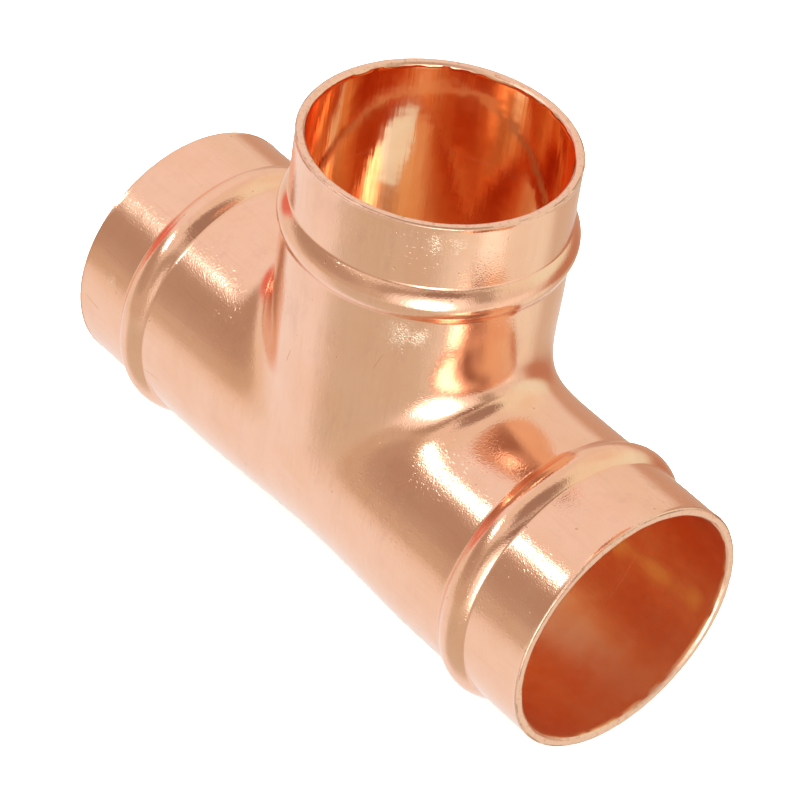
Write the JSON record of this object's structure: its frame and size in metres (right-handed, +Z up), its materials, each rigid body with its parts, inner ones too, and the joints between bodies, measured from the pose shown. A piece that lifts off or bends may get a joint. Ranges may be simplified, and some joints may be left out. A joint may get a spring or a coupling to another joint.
{
  "type": "tee fitting",
  "caption": "Copper equal tee with a rolled bead and a built-in solder ring in each socket, for joining tube at right angles.",
  "frame": {"origin": "where the run axis and the branch axis cross", "axes": "+X along the run, +Z up the branch and out of its mouth, +Y completes the frame and points to one flat side"},
  "size_m": [0.076, 0.0322, 0.0546],
  "materials": {
    "copper": "bright bare copper, drawn and lightly polished",
    "solder": "dull grey solder"
  },
  "bodies": {
    "root": {"tee_body": "copper", "solder_ring_left": "solder", "solder_ring_right": "solder", "solder_ring_branch": "solder"}
  },
  "joints": []
}
